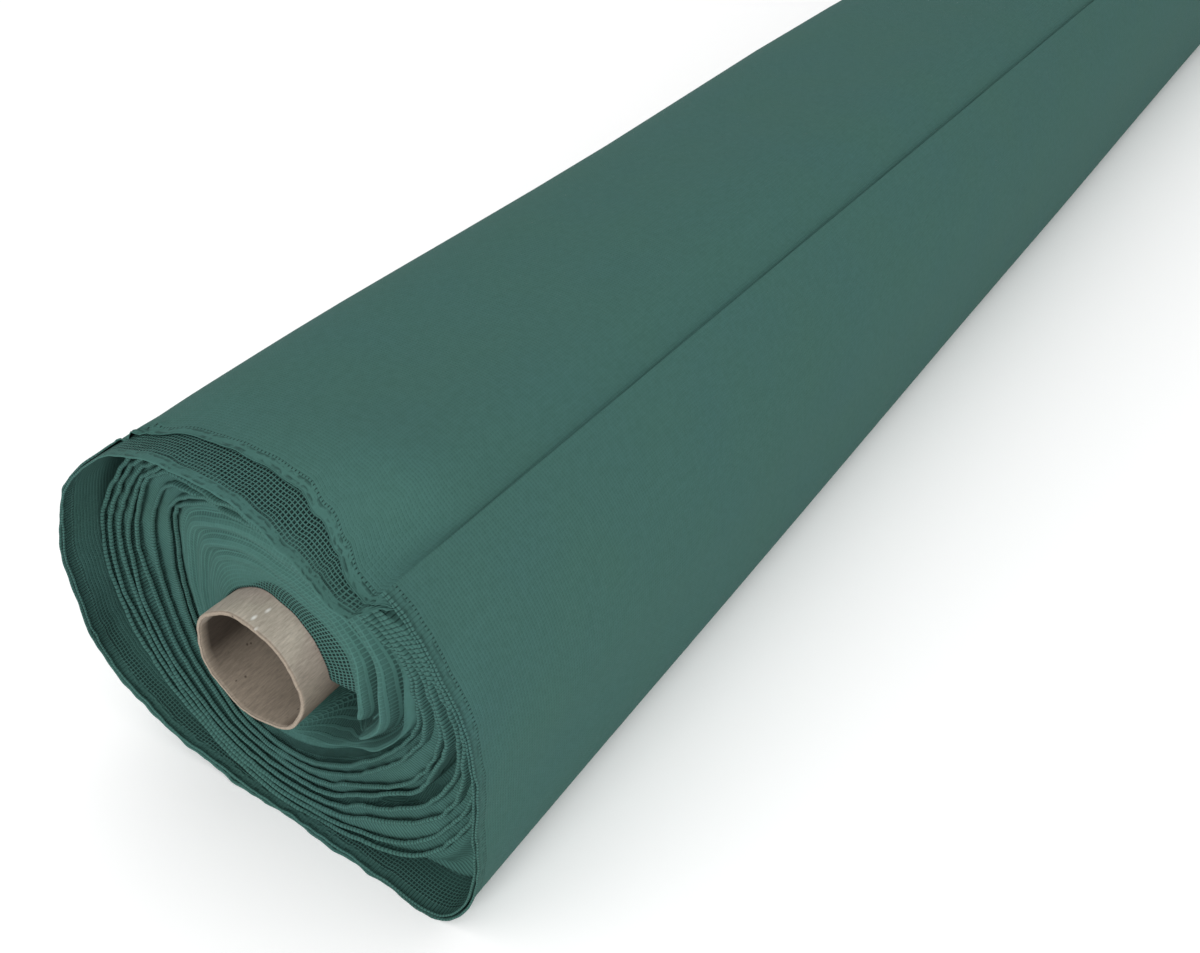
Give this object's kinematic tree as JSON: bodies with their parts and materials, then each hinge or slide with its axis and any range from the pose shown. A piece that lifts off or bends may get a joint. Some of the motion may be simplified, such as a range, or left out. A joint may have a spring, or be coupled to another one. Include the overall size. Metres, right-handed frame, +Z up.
{
  "type": "roll of mosquito netting on a cardboard tube",
  "caption": "Wound roll of fine green mosquito netting, folded double on a cardboard tube, lying on its side with a loose outer turn and a stitched selvedge at its end.",
  "frame": {"origin": "on the floor, under the middle of the bounding box", "axes": "+Y along the roll, from the end where the selvedges show towards the folded end; +X across the roll, to the right seen from the selvedge end; +Z up from the floor"},
  "size_m": [0.1746, 1.5052, 0.1478],
  "materials": {
    "paperboard": "spiral-wound grey-brown paperboard, matt, with fibres and specks",
    "wound_net": "packed turns of fine knitted polyester net in dusty green, stitched selvedges showing",
    "loose_net": "fine knitted polyester net in dusty green, soft and matt, seen through at its rim"
  },
  "bodies": {
    "root": {"core_tube": "paperboard", "net_roll": "wound_net", "net_loose_turn": "loose_net"}
  },
  "joints": []
}
